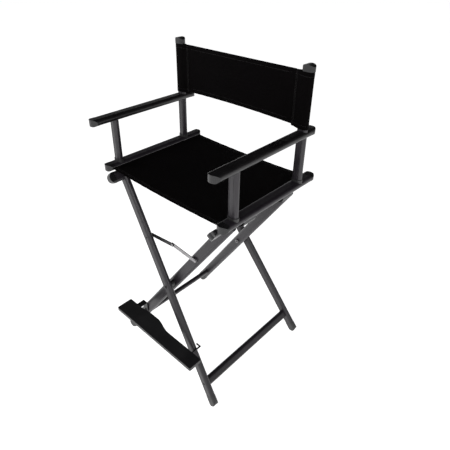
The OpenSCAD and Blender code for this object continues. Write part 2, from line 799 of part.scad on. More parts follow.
// A strip under the footrest that turns down to the hinge bolt on the inner leg
module footrest_bracket() {
    x0 = -rest_pivot_x - bracket_w / 2;
    color(coat_dark) put() difference() {
        union() {
            translate([x0, rest_front + 8, rest_under - bracket_t])
                cube([bracket_w, ear_y + bracket_t - rest_front - 8, bracket_t]);
            translate([x0, ear_y, rest_pivot_z])
                cube([bracket_w, bracket_t, rest_under - rest_pivot_z]);
            translate([-rest_pivot_x, 0, rest_pivot_z])
                rod_y(bracket_w / 2, ear_y, ear_y + bracket_t);
        }
        translate([-rest_pivot_x, 0, rest_pivot_z])
            rod_y(rest_bolt_r + bore_gap, ear_y - 1, ear_y + bracket_t + 1);
        for (i = [0, 1]) translate([rest_screw_spots[i][0], rest_screw_spots[i][1], 0])
            cylinder(r = clip_screw_r + fit_gap, h = long);
    }
}

module footrest_bolt() {
    y = rear_face(inner_front, leg_up(rest_pivot_z));
    color(coat_dark) put() {
        translate([-rest_pivot_x, 0, rest_pivot_z]) {
            rod_y(rest_bolt_r, ear_y - run_gap, y);
            along_y(ear_y - run_gap, -1) round_head(pivot_head_r, pivot_head_h);
        }
        difference() {
            translate([-rest_pivot_x, 0, rest_pivot_z])
                along_y(y - sink) cylinder(r = nut_r, h = nut_h + sink, $fn = 6);
            in_leg(-1) leg_space(inner_front);
        }
    }
}

// A rod under the footrest that lies on the outer leg's upper edge and turns in behind it
module footrest_hook() color(coat_dark) put() {
    difference() {
        translate([hook_x - pad_w / 2, pad_y, rest_under - bracket_t])
            cube([pad_w, pad_len, bracket_t]);
        for (i = [2, 3]) translate([rest_screw_spots[i][0], rest_screw_spots[i][1], 0])
            cylinder(r = clip_screw_r + fit_gap, h = long);
    }
    translate([hook_x, 0, hook_z]) {
        rod_y(hook_r, pad_y, hook_y);
        translate([0, hook_y, 0]) {
            sphere(hook_r);
            rotate([0, -90, 0]) cylinder(r = hook_r, h = hook_turn);
            translate([-hook_turn, 0, 0]) sphere(hook_r);
        }
        translate([-hook_r, pad_y, 0]) cube([2 * hook_r, pad_len, hook_r + eps]);
    }
}

module footrest_screws() color(steel) put() for (p = rest_screw_spots)
    translate([p[0], p[1], rest_under - bracket_t]) {
        cylinder(r = clip_screw_r, h = bracket_t + rest_screw_in);
        rotate([180, 0, 0]) round_head(2 * clip_screw_r, clip_head_h);
    }

outer_leg_front();
outer_leg_rear();
outer_foot_front();
outer_foot_rear();
outer_stretcher();
outer_stretcher_screws();
outer_lower_rail();
outer_rail_caps();
pivot_bolts();
pivot_nuts();
pivot_spacers();
outer_brace_bolt();
inner_leg_front();
inner_leg_rear();
inner_foot_front();
inner_foot_rear();
inner_stretcher();
inner_stretcher_screws();
inner_lower_rail();
inner_rail_caps();
inner_brace_bolt();
footrest_bolt();
seat_rail_left();
seat_rail_right();
seat_rail_caps_left();
seat_rail_caps_right();
front_post_left();
front_post_right();
rear_post_left();
rear_post_right();
post_collars_left();
post_collars_right();
post_cap_left();
post_cap_right();
armrest_left();
armrest_right();
armrest_caps_left();
armrest_caps_right();
hinge_clips_left();
hinge_clips_right();
clip_screws_left();
clip_screws_right();
seat_rod_left();
seat_rod_right();
back_sleeve_left();
back_sleeve_right();
seat_fabric();
back_fabric();
brace_link_outer();
brace_link_inner();
brace_rivet_front();
brace_rivet_rear();
footrest_plate();
footrest_bracket();
footrest_hook();
footrest_screws();
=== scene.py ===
import json
import math

import bmesh
import bpy
from bpy.props import FloatProperty, FloatVectorProperty, IntProperty, PointerProperty
from mathutils import Matrix, Vector, noise


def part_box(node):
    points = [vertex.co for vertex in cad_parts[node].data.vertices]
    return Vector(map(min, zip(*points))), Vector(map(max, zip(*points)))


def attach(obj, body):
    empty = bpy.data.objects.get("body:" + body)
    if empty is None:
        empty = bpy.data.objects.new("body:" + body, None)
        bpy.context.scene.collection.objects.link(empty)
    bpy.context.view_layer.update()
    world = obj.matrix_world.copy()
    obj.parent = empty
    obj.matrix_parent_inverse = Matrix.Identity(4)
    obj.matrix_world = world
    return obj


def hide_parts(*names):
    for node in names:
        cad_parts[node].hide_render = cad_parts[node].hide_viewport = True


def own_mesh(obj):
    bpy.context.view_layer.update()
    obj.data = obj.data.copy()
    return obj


bl_info = {
    "name": "Folding director's chair",
    "version": (1, 0, 0),
    "blender": (4, 5, 0),
    "location": "3D View > Sidebar > Chair",
    "description": "Sews the cloth, finishes the metal and sets the studio for a tall folding chair",
    "category": "Object",
}

MM = 0.001
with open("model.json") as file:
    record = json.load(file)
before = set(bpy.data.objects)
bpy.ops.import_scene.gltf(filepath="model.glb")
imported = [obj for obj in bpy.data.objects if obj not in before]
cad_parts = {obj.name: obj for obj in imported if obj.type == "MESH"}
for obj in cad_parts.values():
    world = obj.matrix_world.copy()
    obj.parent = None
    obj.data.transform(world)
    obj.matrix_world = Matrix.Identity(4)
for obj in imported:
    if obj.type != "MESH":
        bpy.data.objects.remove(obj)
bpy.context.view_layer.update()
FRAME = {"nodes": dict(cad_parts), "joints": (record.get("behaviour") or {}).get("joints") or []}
SIDES = ("left", "right")

SHARP = math.radians(50)  # edges that turn more than this are softened
RIM_ROUND = 0.45  # how far a cloth's rim stands out, as a share of its thickness
STITCH_GAP = 1.1 * MM
THREAD_RADIUS = 0.38 * MM
THREAD_LIFT = 0.1 * MM  # between a cloth's face and the row of stitches on it
ROW_SIDE = 1.2 * MM  # from a row of stitches to the mesh line on either side of it
PLAIN_END = 14 * MM  # left unsewn at both ends of the back's hems

POST_HALF = 17 * MM  # half the width of a rear post
POST_ROUND = 10 * MM  # half its depth, and the radius of its ends
POST_FLAT = POST_HALF - POST_ROUND
SEAM_OUT = 42 * MM  # from a rear post's middle to its pocket's seam
POCKET_DROP = 8 * MM  # how far a pocket reaches below the sleeve it stands for
POCKET_ROW = 12.7 * MM  # from a pocket's top or bottom edge to its row of stitches
POCKET_STEPS = 14  # mesh points along each part of a pocket's outline
OUTER_SKIN = 1.75 * MM  # from the post to the outer face of its pocket
INNER_SKIN = 0.5 * MM  # from the post to the inner face
SEAM_ROWS = (35.5 * MM, 40.0 * MM)  # from a rear post's middle to the two rows of the seam


# ---- places on the frame

def side_sign(side):
    """-1 for the left side frame and 1 for the right one."""
    return -1 if side == "left" else 1


def both(*parts):
    """The nodes of these parts on both side frames."""
    return [f"{part}_{side}" for side in SIDES for part in parts]


def node_middle(node):
    """Middle of a node's box."""
    low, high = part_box(node)
    return (low + high) / 2


def smooth(t):
    """0 below 0, 1 above 1, and a soft step between."""
    t = min(max(t, 0.0), 1.0)
    return t * t * (3 - 2 * t)


def bump(x, middle, width):
    """A soft round bump of height 1 about middle."""
    return math.exp(-((x - middle) / width) ** 2)


# ---- shader node groups

class Graph:
    """Adds and joins shader nodes in one tree."""

    def __init__(self, tree):
        self.tree = tree
        self.column = 0

    def node(self, kind, values=None, **settings):
        """A node with its settings, and a value or a joined socket for each named input."""
        made = self.tree.nodes.new(kind)
        self.column += 1
        made.location = (180 * (self.column % 12), -220 * (self.column // 12))
        for key, value in settings.items():
            setattr(made, key, value)
        for key, value in (values or {}).items():
            self.feed(made.inputs[key], value)
        return made

    def feed(self, socket, value):
        """Joins a socket to a socket, or sets it to a plain value."""
        if isinstance(value, bpy.types.NodeSocket):
            self.tree.links.new(value, socket)
        else:
            socket.default_value = value

    def maths(self, operation, a, b=0.0):
        """The result of a Math node."""
        return self.node("ShaderNodeMath", {0: a, 1: b}, operation=operation).outputs[0]

    def blend(self, factor, a, b):
        """A colour between a and b."""
        made = self.node("ShaderNodeMix", data_type="RGBA")
        self.feed(made.inputs[0], factor)
        self.feed(made.inputs[6], a)
        self.feed(made.inputs[7], b)
        return made.outputs[2]

    def stretch(self, value, low, high, to_low=0.0, to_high=1.0):
        """A value moved from one range to another, clamped."""
        made = self.node("ShaderNodeMapRange", {"Value": value, "From Min": low, "From Max": high,
                                                "To Min": to_low, "To Max": to_high})
        return made.outputs[0]


def new_group(name, inputs, outputs):
    """A shader node group with the named sockets, its graph and its two end nodes."""
    tree = bpy.data.node_groups.new(name, "ShaderNodeTree")
    for socket, kind, default in inputs:
        made = tree.interface.new_socket(name=socket, in_out="INPUT", socket_type=kind)
        made.default_value = default
    for socket, kind in outputs:
        tree.interface.new_socket(name=socket, in_out="OUTPUT", socket_type=kind)
    graph = Graph(tree)
    return tree, graph, graph.node("NodeGroupInput"), graph.node("NodeGroupOutput")


def grain_group():
    """Powder-coat or moulded grain: a fine height, a soft cloud and a speckle."""
    name = "Coat grain"
    if name in bpy.data.node_groups:
        return bpy.data.node_groups[name]
    tree, graph, start, end = new_group(
        name,
        [("Grain Size", "NodeSocketFloat", 900.0), ("Cloud Size", "NodeSocketFloat", 14.0)],
        [("Height", "NodeSocketFloat"), ("Cloud", "NodeSocketFloat"),
         ("Speckle", "NodeSocketFloat")])
    place = graph.node("ShaderNodeTexCoord").outputs["Object"]
    fine = graph.node("ShaderNodeTexNoise", {"Vector": place, "Scale": start.outputs[0],
                                             "Detail": 2.0, "Roughness": 0.6})
    cloud = graph.node("ShaderNodeTexNoise", {"Vector": place, "Scale": start.outputs[1],
                                              "Detail": 4.0, "Roughness": 0.55})
    cells = graph.node("ShaderNodeTexVoronoi", {"Vector": place, "Scale": start.outputs[0]},
                       feature="F1")
    graph.feed(end.inputs["Height"], fine.outputs[0])
    graph.feed(end.inputs["Cloud"], graph.stretch(cloud.outputs[0], 0.32, 0.68))
    graph.feed(end.inputs["Speckle"], graph.stretch(cells.outputs["Distance"], 0.02, 0.3, 1.0, 0.0))
    return tree


def edge_rub_and_highlight_group():
    """How much a place lies on an edge, in patches: 0 on faces, 1 on edges; it places the lighter
    colour of edges worn by hands and shoes, and of painted edge highlights.
    """
    name = "Rubbed edge"
    if name in bpy.data.node_groups:
        return bpy.data.node_groups[name]
    tree, graph, start, end = new_group(
        name,
        [("Width", "NodeSocketFloat", 0.0012), ("Patches", "NodeSocketFloat", 90.0)],
        [("Edge", "NodeSocketFloat")])
    round_edge = graph.node("ShaderNodeBevel", {"Radius": start.outputs["Width"]}, samples=4)
    flat = graph.node("ShaderNodeNewGeometry").outputs["Normal"]
    dot = graph.node("ShaderNodeVectorMath", {0: round_edge.outputs[0], 1: flat},
                     operation="DOT_PRODUCT").outputs["Value"]
    edge = graph.stretch(dot, 0.97, 0.8)
    place = graph.node("ShaderNodeTexCoord").outputs["Object"]
    patches = graph.node("ShaderNodeTexNoise", {"Vector": place, "Scale": start.outputs["Patches"],
                                                "Detail": 5.0, "Roughness": 0.7})
    gate = graph.stretch(patches.outputs[0], 0.38, 0.62)
    graph.feed(end.inputs["Edge"], graph.maths("MULTIPLY", edge, gate))
    return tree


def weave_group():
    """A plain weave: threads that pass over and under each other, with uneven thickness."""
    name = "Plain weave"
    if name in bpy.data.node_groups:
        return bpy.data.node_groups[name]
    tree, graph, start, end = new_group(
        name,
        [("Across", "NodeSocketFloat", 0.0), ("Along", "NodeSocketFloat", 0.0),
         ("Threads Per Metre", "NodeSocketFloat", 1100.0)],
        [("Height", "NodeSocketFloat"), ("Over", "NodeSocketFloat"),
         ("Slub", "NodeSocketFloat")])
    place = graph.node("ShaderNodeTexCoord").outputs["Object"]
    waver = graph.node("ShaderNodeTexNoise", {"Vector": place, "Scale": 60.0, "Detail": 3.0})
    drift = graph.maths("MULTIPLY", graph.maths("SUBTRACT", waver.outputs[0], 0.5), 1.6)
    heights, cells = [], []
    for socket in ("Across", "Along"):
        run = graph.maths("MULTIPLY", start.outputs[socket], start.outputs["Threads Per Metre"])
        run = graph.maths("ADD", run, drift)
        heights.append(graph.maths("ABSOLUTE", graph.maths("SINE",
                                                           graph.maths("MULTIPLY", run, math.pi))))
        cells.append(graph.maths("FLOOR", run))
    parity = graph.maths("MODULO", graph.maths("ABSOLUTE", graph.maths("ADD", *cells)), 2.0)
    one = graph.maths("MULTIPLY", heights[0], parity)
    other = graph.maths("MULTIPLY", heights[1], graph.maths("SUBTRACT", 1.0, parity))
    slub = graph.node("ShaderNodeTexNoise", {"Vector": place, "Scale": 240.0, "Detail": 4.0,
                                             "Roughness": 0.7})
    graph.feed(end.inputs["Height"], graph.maths("ADD", one, other))
    graph.feed(end.inputs["Over"], parity)
    graph.feed(end.inputs["Slub"], graph.stretch(slub.outputs[0], 0.3, 0.7))
    return tree


def new_material(name):
    """A new material, its graph and its Principled shader."""
    material = bpy.data.materials.new(name)
    material.use_nodes = True
    material.node_tree.nodes.clear()
    graph = Graph(material.node_tree)
    shader = graph.node("ShaderNodeBsdfPrincipled")
    output = graph.node("ShaderNodeOutputMaterial")
    graph.feed(output.inputs["Surface"], shader.outputs[0])
    return material, graph, shader


def use_group(graph, tree, **values):
    """A group placed in a material, with its own values."""
    made = graph.node("ShaderNodeGroup")
    made.node_tree = tree
    for key, value in values.items():
        graph.feed(made.inputs[key.replace("_", " ")], value)
    return made


def rgba(colour):
    """A colour property as four numbers."""
    return (*colour, 1.0)


def lighter(colour, share, towards=(1.0, 1.0, 1.0)):
    """A colour moved part of the way towards another."""
    return tuple(a + (b - a) * share for a, b in zip(colour, towards))


def darker(colour, share):
    """A colour moved part of the way towards black."""
    return lighter(colour, share, (0, 0, 0))


def raise_grain(graph, shader, height, strength, distance):
    """Bumps a surface by a height that changes over it."""
    bumps = graph.node("ShaderNodeBump", {"Strength": strength, "Distance": distance,
                                          "Height": height})
    graph.feed(shader.inputs["Normal"], bumps.outputs[0])


def coated_metal(name, colour, rough, grain=0.12, grain_size=1100.0, metal=0.0, edge_wear_and_highlight=0.35):
    """Powder-coated or painted metal with orange-peel grain, clouded gloss and lighter edges: rubbed
    wear, and a painted highlight where the edge amount is high.
    """
    material, graph, shader = new_material(name)
    coat = use_group(graph, grain_group(), Grain_Size=grain_size, Cloud_Size=16.0)
    edge_rub_and_highlight = use_group(graph, edge_rub_and_highlight_group(), Width=0.0014, Patches=70.0)
    base = graph.blend(coat.outputs["Cloud"], rgba(darker(colour, 0.12)),
                       rgba(lighter(colour, 0.004)))
    # edges lightened by the patchy edge mask: rubbed wear, and a painted highlight where the amount
    # is high
    base = graph.blend(graph.maths("MULTIPLY", edge_rub_and_highlight.outputs["Edge"], edge_wear_and_highlight), base,
                       rgba(lighter(colour, 0.14)))
    graph.feed(shader.inputs["Base Color"], base)
    gloss = graph.stretch(coat.outputs["Cloud"], 0.0, 1.0, rough - 0.05, rough + 0.06)
    gloss = graph.maths("ADD", gloss, graph.maths("MULTIPLY", coat.outputs["Speckle"], 0.05))
    graph.feed(shader.inputs["Roughness"], gloss)
    shader.inputs["Metallic"].default_value = metal
    raise_grain(graph, shader, coat.outputs["Height"], grain, 0.0004)
    return material


def moulded_plastic(name, colour, rough):
    """Moulded plastic: a faint spark-eroded grain and a gloss that varies a little."""
    material, graph, shader = new_material(name)
    skin = use_group(graph, grain_group(), Grain_Size=1700.0, Cloud_Size=35.0)
    edge_rub_and_highlight = use_group(graph, edge_rub_and_highlight_group(), Width=0.001, Patches=120.0)
    base = graph.blend(skin.outputs["Speckle"], rgba(colour), rgba(lighter(colour, 0.004)))
    base = graph.blend(graph.maths("MULTIPLY", edge_rub_and_highlight.outputs["Edge"], 0.3), base,
                       rgba(lighter(colour, 0.05)))
    graph.feed(shader.inputs["Base Color"], base)
    graph.feed(shader.inputs["Roughness"],
               graph.stretch(skin.outputs["Cloud"], 0.0, 1.0, rough - 0.06, rough + 0.06))
    raise_grain(graph, shader, skin.outputs["Height"], 0.16, 0.0003)
    return material


def plated_steel(name, colour, rough):
    """Zinc-plated steel with a fine grain and duller patches."""
    material, graph, shader = new_material(name)
    skin = use_group(graph, grain_group(), Grain_Size=700.0, Cloud_Size=60.0)
    edge_rub_and_highlight = use_group(graph, edge_rub_and_highlight_group(), Width=0.0008, Patches=200.0)
    base = graph.blend(skin.outputs["Cloud"], rgba(darker(colour, 0.25)), rgba(colour))
    base = graph.blend(edge_rub_and_highlight.outputs["Edge"], base, rgba(lighter(colour, 0.3)))
    graph.feed(shader.inputs["Base Color"], base)
    graph.feed(shader.inputs["Roughness"],
               graph.stretch(skin.outputs["Cloud"], 0.0, 1.0, rough + 0.1, rough - 0.06))
    shader.inputs["Metallic"].default_value = 0.9
    raise_grain(graph, shader, skin.outputs["Height"], 0.15, 0.0002)
    return material


def woven_cloth(name, colour, across, along, threads, sheen=0.008):
    """Heavy plain-woven cloth; across and along are the object axes that its threads follow."""
    material, graph, shader = new_material(name)
    place = graph.node("ShaderNodeTexCoord").outputs["Object"]
    axes = graph.node("ShaderNodeSeparateXYZ", {0: place}).outputs
    weave = use_group(graph, weave_group(), Across=axes[across], Along=axes[along],
                      Threads_Per_Metre=threads)
    skin = use_group(graph, grain_group(), Grain_Size=2200.0, Cloud_Size=7.0)
    base = graph.blend(weave.outputs["Slub"], rgba(darker(colour, 0.3)),
                       rgba(lighter(colour, 0.0012)))
    base = graph.blend(graph.maths("MULTIPLY", weave.outputs["Over"], 0.4), base,
                       rgba(lighter(colour, 0.0015)))
    base = graph.blend(graph.maths("MULTIPLY", skin.outputs["Cloud"], 0.35), base,
                       rgba(darker(colour, 0.5)))
    graph.feed(shader.inputs["Base Color"], base)
    graph.feed(shader.inputs["Roughness"],
               graph.stretch(weave.outputs["Slub"], 0.0, 1.0, 0.92, 0.8))
    shader.inputs["Sheen Weight"].default_value = sheen
    shader.inputs["Sheen Roughness"].default_value = 0.5
    shader.inputs["Sheen Tint"].default_value = (0.5, 0.4, 0.44, 1.0)
    shader.inputs["Specular IOR Level"].default_value = 0.03
    fuzz = graph.maths("ADD", weave.outputs["Height"],
                       graph.maths("MULTIPLY", skin.outputs["Height"], 0.5))
    raise_grain(graph, shader, fuzz, 0.4, 0.0004)
    return material


def dress(node, material):
    """Gives every material slot of a CAD node this material."""
    slots = FRAME["nodes"][node].data.materials
    slots.clear()
    slots.append(material)


def black_steel(finish):
    """Blackened steel for the bolts, the bracket and the hook; it is made once."""
    made = bpy.data.materials.get("Blackened steel")
    return made or coated_metal("Blackened steel", finish.fittings, 0.34, grain=0.06, metal=0.4)


def zinc_plate(finish):
    """Plated steel for the brace, rivets, rods and screws; it is made once."""
    return bpy.data.materials.get("Zinc plate") or plated_steel("Zinc plate", finish.steel, 0.34)


def soften(node, width, segments=2):
    """Rounds a CAD node's sharp edges with a modifier, which leaves its mesh as it is."""
    bevel = FRAME["nodes"][node].modifiers.new("Soft edges", "BEVEL")
    bevel.width = width
    bevel.segments = segments
    bevel.limit_method = "ANGLE"
    bevel.angle_limit = SHARP
    bevel.use_clamp_overlap = True
    bevel.harden_normals = True


# ---- mesh makers

def new_object(name, mesh, material, body):
    """Links a mesh as a piece that rides on a body, with its finish."""
    mesh.name = name
    obj = bpy.data.objects.new(name, mesh)
    bpy.context.scene.collection.objects.link(obj)
    mesh.materials.append(material)
    for face in mesh.polygons:
        face.use_smooth = True
    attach(obj, body)
    return obj


def mesh_from(verts, faces):
    """A mesh with its normals pointing out."""
    mesh = bpy.data.meshes.new("made")
    mesh.from_pydata([tuple(v) for v in verts], [], faces)
    work = bmesh.new()
    work.from_mesh(mesh)
    bmesh.ops.recalc_face_normals(work, faces=work.faces)
    work.to_mesh(mesh)
    work.free()
    return mesh


class Sheet:
    """A settled cloth surface that can be read at any u across and v along, both 0 to 1."""

    def __init__(self, points, nu, nv):
        self.points = points
        self.nu = nu
        self.nv = nv

    def at(self, u, v):
        """The place of (u, v), smoothed between the settled points."""
        fu, fv = u * (self.nu - 1), v * (self.nv - 1)
        i, j = min(int(fu), self.nu - 2), min(int(fv), self.nv - 2)
        columns = []
        for dj in (-1, 0, 1, 2):
            row = [self.point(i + di, j + dj) for di in (-1, 0, 1, 2)]
            columns.append(between(row, fu - i))
        return between(columns, fv - j)

    def point(self, i, j):
        """A settled point; past an edge it carries on in a straight line."""
        ci, cj = min(max(i, 0), self.nu - 1), min(max(j, 0), self.nv - 1)
        here = self.points[cj * self.nu + ci]
        if ci != i:
            here = here * 2 - self.points[cj * self.nu + (1 if i < 0 else self.nu - 2)]
        if cj != j:
            inner = 1 if j < 0 else self.nv - 2
            here = here * 2 - self.points[inner * self.nu + ci]
        return here

    def normal(self, u, v):
        """The upward or forward normal at (u, v)."""
        step = 0.004
        du = self.at(min(u + step, 1), v) - self.at(max(u - step, 0), v)
        dv = self.at(u, min(v + step, 1)) - self.at(u, max(v - step, 0))
        return du.cross(dv).normalized()


def between(p, t):
    """A point between p[1] and p[2] on a smooth curve through four points."""
    return (p[1] * 2 + (p[2] - p[0]) * t + (p[0] * 2 - p[1] * 5 + p[2] * 4 - p[3]) * t * t
            + (p[1] * 3 - p[0] - p[2] * 3 + p[3]) * t ** 3) / 2


def settle_cloth(name, flat, hung, nu, nv, pinned, frames, weight, stiffness):
    """Hangs a flat cloth from its pinned points and lets it settle. flat and hung give the
    place of (u, v) as cut and as pinned."""
    steps = [(i / (nu - 1), j / (nv - 1)) for j in range(nv) for i in range(nu)]
    mesh = bpy.data.meshes.new(name)
    faces = [(j * nu + i, j * nu + i + 1, (j + 1) * nu + i + 1, (j + 1) * nu + i)
             for j in range(nv - 1) for i in range(nu - 1)]
    mesh.from_pydata([tuple(flat(u, v)) for u, v in steps], [], faces)
    obj = bpy.data.objects.new(name, mesh)
    bpy.context.scene.collection.objects.link(obj)
    obj.shape_key_add(name="Cut flat")
    key = obj.shape_key_add(name="Pinned")
    for i, (u, v) in enumerate(steps):
        key.data[i].co = hung(u, v)
    key.value = 1.0
    pins = obj.vertex_groups.new(name="Pins")
    pins.add([i for i, (u, v) in enumerate(steps) if pinned(u, v)], 1.0, "REPLACE")
    cloth = obj.modifiers.new("Settle", "CLOTH")
    for key, value in {"quality": 10, "mass": weight, "tension_stiffness": stiffness,
                       "compression_stiffness": stiffness, "shear_stiffness": stiffness * 0.5,
                       "bending_stiffness": 1.5, "tension_damping": 12, "air_damping": 4,
                       "vertex_group_mass": "Pins"}.items():
        setattr(cloth.settings, key, value)
    cloth.settings.rest_shape_key = obj.data.shape_keys.key_blocks[0]
    cloth.collision_settings.use_collision = False
    cloth.collision_settings.use_self_collision = False
    cloth.point_cache.frame_start = 1
    cloth.point_cache.frame_end = frames
    scene = bpy.context.scene
    for number in range(1, frames + 1):
        scene.frame_set(number)
    settled = obj.evaluated_get(bpy.context.evaluated_depsgraph_get()).to_mesh()
    points = [v.co.copy() for v in settled.vertices]
    scene.frame_set(1)
    bpy.data.objects.remove(obj)
    return Sheet(points, nu, nv)


def grid_lines(length, edge_lines, step):
    """Places from 0 to 1 along a length: close lines near both ends and even ones between."""
    near = [x / length for x in edge_lines]
    count = max(2, round(length * (near[-1] * -2 + 1) / step))
    middle = [near[-1] + (1 - 2 * near[-1]) * i / count for i in range(1, count)]
    return near + middle + [1 - x for x in reversed(near)]


def thick_sheet(surface, us, vs, thickness, lift):
    """A closed mesh of a cloth surface: thickness(u, v) thick, with both faces moved by
    lift(u, v) along the normal, and rims that are rounded at v 0 and v 1."""
    nu, nv = len(us), len(vs)
    verts = []
    for face in (1, -1):
        for v in vs:
            for u in us:
                n = surface.normal(u, v)
                away = lift(u, v) + face * thickness(u, v) / 2
                verts.append(surface.at(u, v) + n * away)
    faces = []
    size = nu * nv
    for j in range(nv - 1):
        for i in range(nu - 1):
            a = j * nu + i
            faces.append((a, a + 1, a + nu + 1, a + nu))
            faces.append((size + a, size + a + nu, size + a + nu + 1, size + a + 1))
    for row, inner in ((0, 1), (nv - 1, nv - 2)):
        rim = []
        for i in range(nu):
            top, low = verts[row * nu + i], verts[size + row * nu + i]
            middle = (top + low) / 2
            out = middle - (verts[inner * nu + i] + verts[size + inner * nu + i]) / 2
            out.normalize()
            rim.append(len(verts))
            verts.append(middle + out * (top - low).length * RIM_ROUND)
        for i in range(nu - 1):
            top, low = row * nu + i, size + row * nu + i
            faces.append((top, top + 1, rim[i + 1], rim[i]))
            faces.append((low + 1, low, rim[i], rim[i + 1]))
        for i in (0, nu - 1):
            faces.append((row * nu + i, rim[i], size + row * nu + i))
    for i in (0, nu - 1):
        for j in range(nv - 1):
            a = j * nu + i
            faces.append((a, a + nu, size + a + nu, size + a))
    return mesh_from(verts, faces)


def stitches(places, length):
    """Threads along a row of (place, normal): short rounded bars that dip at both ends."""
    verts, faces = [], []
    run = [0.0]
    for a, b in zip(places, places[1:]):
        run.append(run[-1] + (b[0] - a[0]).length)
    count = int(run[-1] // (length + STITCH_GAP))
    index = 0
    sides = 6
    # share of the length, share of the radius, and height in radii
    rings = ((0.0, 0.35, -0.9), (0.18, 0.9, 0.1), (0.5, 1.0, 0.35), (0.82, 0.9, 0.1),
             (1.0, 0.35, -0.9))
    for k in range(count):
        start = (k + 0.5) * run[-1] / count - length / 2
        first = len(verts)
        for share, wide, rise in rings:
            at = start + share * length
            while index < len(run) - 2 and run[index + 1] < at:
                index += 1
            part = (at - run[index]) / (run[index + 1] - run[index])
            here = places[index][0].lerp(places[index + 1][0], part)
            normal = places[index][1].lerp(places[index + 1][1], part).normalized()
            along = (places[index + 1][0] - places[index][0]).normalized()
            side = normal.cross(along).normalized()
            for corner in range(sides):
                angle = math.tau * corner / sides
                verts.append(here + side * (math.cos(angle) * THREAD_RADIUS * wide)
                             + normal * ((math.sin(angle) * wide + rise) * THREAD_RADIUS))
        for ring in range(len(rings) - 1):
            for corner in range(sides):
                a = first + ring * sides + corner
                b = first + ring * sides + (corner + 1) % sides
                faces.append((a, b, b + sides, a + sides))
        last = len(verts)
        faces.append(tuple(range(first, first + sides)))
        faces.append(tuple(range(last - sides, last)))
    return verts, faces


def joined_stitches(rows, length):
    """One mesh of several rows of stitches."""
    verts, faces = [], []
    for places in rows:
        more, more_faces = stitches(places, length)
        base = len(verts)
        verts += more
        faces += [tuple(base + i for i in face) for face in more_faces]
    return mesh_from(verts, faces)


class Hems:
    """A cloth with a turned hem along v 0 and v 1, sewn along rows that are measured from each
    edge. fold is what a hem adds to its thickness and draw what a row of stitches takes, in
    millimetres; pucker is how far apart the hem's puckers are."""

    plain = 1.3                      # thickness of one layer, in millimetres

    def __init__(self, width, height, hem, rows, fold, draw, pucker):
        self.width = width
        self.height = height
        self.hem = hem
        self.rows = rows
        self.fold = fold
        self.draw = draw
        self.pucker = pucker

    def from_edge(self, v):
        """Distance from the nearer hem's edge."""
        return min(v, 1 - v) * self.height

    def turned(self, v):
        """1 in a hem and 0 outside it."""
        return 1 - smooth((self.from_edge(v) - self.hem + 1 * MM) / (2 * MM))

    def thickness(self, u, v):
        """Thicker in the hems, and drawn in along the stitches."""
        drawn = sum(bump(self.from_edge(v), row, 1.0 * MM) for row in self.rows)
        return (self.plain + self.fold * self.turned(v) - self.draw * drawn) * MM

    def lift(self, u, v):
        """The hem is turned under or to the back, so the other face stays level."""
        pucker = 0.25 * MM * math.sin(u * self.width / self.pucker)
        return (pucker - self.fold / 2 * MM) * self.turned(v)

    def sewn(self, surface, us, faces):
        """Places and normals for the stitches along each row, on each of these faces."""
        lines = []
        for edge in (0, 1):
            for row in self.rows:
                v = abs(edge - row / self.height)
                for face in faces:
                    lines.append([])
                    for u in us:
                        n = surface.normal(u, v)
                        rise = self.thickness(u, v) / 2 + THREAD_LIFT
                        rise = self.lift(u, v) + face * rise
                        lines[-1].append((surface.at(u, v) + n * rise, n * face))
        return lines


# ---- sizes and colours

class ClothSettings(bpy.types.PropertyGroup):
    """What a user would change about the cloth."""

    colour: FloatVectorProperty(
        name="Cloth colour", description="Colour of the seat and back cloth",
        subtype="COLOR", size=3, min=0, max=1, default=(0.0014, 0.0009, 0.0011))
    thread_colour: FloatVectorProperty(
        name="Thread colour", description="Colour of the sewing thread",
        subtype="COLOR", size=3, min=0, max=1, default=(0.009, 0.0075, 0.008))
    threads: FloatProperty(
        name="Threads per metre", description="How fine the weave is",
        default=1050.0, min=300.0, max=4000.0)
    seat_slack: FloatProperty(
        name="Seat slack", description="Share by which the seat is cut wider than its span",
        subtype="FACTOR", default=0.0012, min=0.0, max=0.02, precision=4)
    back_slack: FloatProperty(
        name="Back slack", description="Share by which the back is cut wider than its span",
        subtype="FACTOR", default=0.004, min=0.0, max=0.02, precision=4)
    hem: FloatProperty(
        name="Hem width", description="Width of the turned hems",
        unit="LENGTH", default=0.016, min=0.006, max=0.03)
    stitch: FloatProperty(
        name="Stitch length", description="Length of one stitch",
        unit="LENGTH", default=0.0034, min=0.002, max=0.008)
    settle_frames: IntProperty(
        name="Settling frames", description="How long the cloth is left to settle",
        default=36, min=10, max=120)


class FinishSettings(bpy.types.PropertyGroup):
    """What a user would change about the metal and plastic."""

    tube: FloatVectorProperty(
        name="Tube colour", description="Powder coat on legs, rails and posts",
        subtype="COLOR", size=3, min=0, max=1, default=(0.0125, 0.0098, 0.0138))
    armrest: FloatVectorProperty(
        name="Armrest colour", description="Coat on the armrests",
        subtype="COLOR", size=3, min=0, max=1, default=(0.0060, 0.0052, 0.0060))
    footrest: FloatVectorProperty(
        name="Footrest colour", description="Coat on the footrest",
        subtype="COLOR", size=3, min=0, max=1, default=(0.0095, 0.0090, 0.0105))
    fittings: FloatVectorProperty(
        name="Fittings colour", description="Blackened bolts and brackets",
        subtype="COLOR", size=3, min=0, max=1, default=(0.012, 0.0115, 0.0125))
    plastic: FloatVectorProperty(
        name="Plastic colour", description="End caps, feet, collars and clips",
        subtype="COLOR", size=3, min=0, max=1, default=(0.0075, 0.007, 0.008))
    steel: FloatVectorProperty(
        name="Steel colour", description="Brace link, rivets and screws",
        subtype="COLOR", size=3, min=0, max=1, default=(0.34, 0.33, 0.34))
    coat_gloss: FloatProperty(
        name="Coat roughness", description="Roughness of the powder coat",
        subtype="FACTOR", default=0.36, min=0.05, max=1.0)


